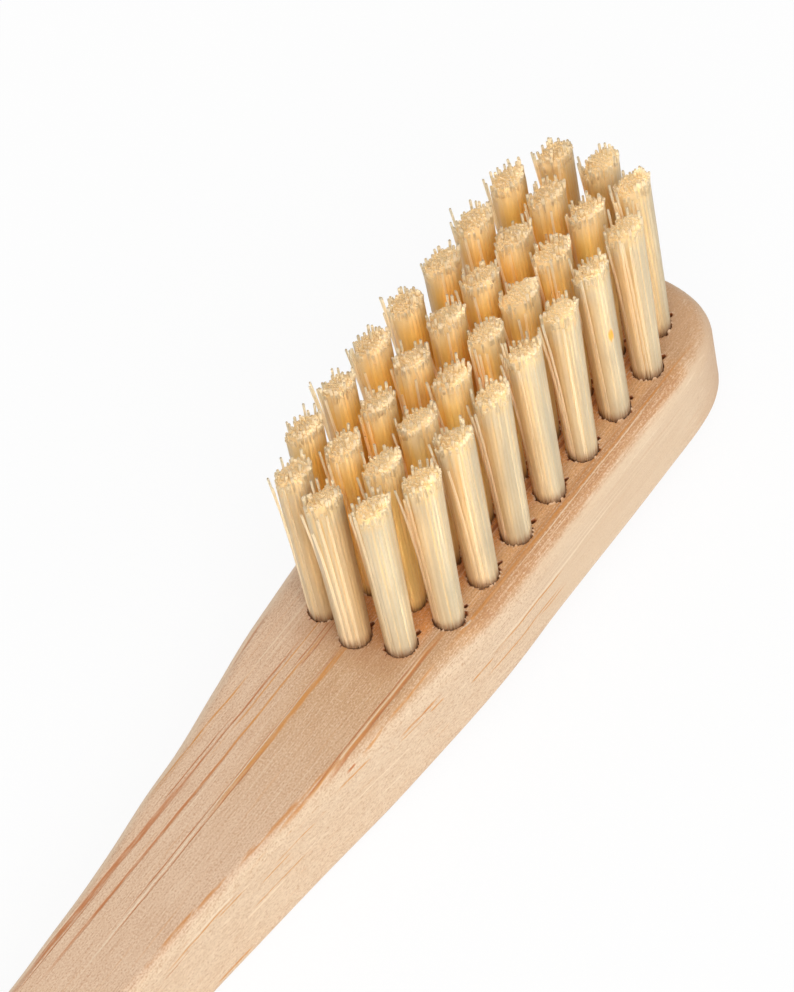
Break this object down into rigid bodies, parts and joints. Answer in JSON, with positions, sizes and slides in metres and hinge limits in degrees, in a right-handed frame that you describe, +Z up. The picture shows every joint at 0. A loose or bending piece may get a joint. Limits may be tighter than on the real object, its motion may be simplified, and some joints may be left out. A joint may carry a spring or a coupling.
{
  "type": "manual toothbrush",
  "caption": "Wooden toothbrush with a long flat handle, a slim neck and a rounded head set with upright tufts of bristles.",
  "frame": {"origin": "middle of the brush's length, on the flat back of the handle, so the brush lies on its back on Z = 0", "axes": "+X along the brush towards the tip of the head, +Z up out of the bristle face, +Y across the handle"},
  "size_m": [0.188, 0.0132, 0.0173],
  "materials": {
    "bamboo": "sanded",
    "bristle": "satin",
    "anchor": "cold rolled"
  },
  "bodies": {
    "root": {"handle": "bamboo", "anchor_plates": "anchor", "tuft_neck_a": "bristle", "tuft_neck_b": "bristle", "tuft_neck_c": "bristle", "tuft_a1": "bristle", "tuft_b1": "bristle", "tuft_c1": "bristle", "tuft_d1": "bristle", "tuft_a2": "bristle", "tuft_b2": "bristle", "tuft_c2": "bristle", "tuft_d2": "bristle", "tuft_a3": "bristle", "tuft_b3": "bristle", "tuft_c3": "bristle", "tuft_d3": "bristle", "tuft_a4": "bristle", "tuft_b4": "bristle", "tuft_c4": "bristle", "tuft_d4": "bristle", "tuft_a5": "bristle", "tuft_b5": "bristle", "tuft_c5": "bristle", "tuft_d5": "bristle", "tuft_a6": "bristle", "tuft_b6": "bristle", "tuft_c6": "bristle", "tuft_d6": "bristle", "tuft_a7": "bristle", "tuft_b7": "bristle", "tuft_c7": "bristle", "tuft_d7": "bristle", "tuft_tip_a": "bristle", "tuft_tip_b": "bristle", "tuft_tip_c": "bristle"}
  },
  "joints": []
}
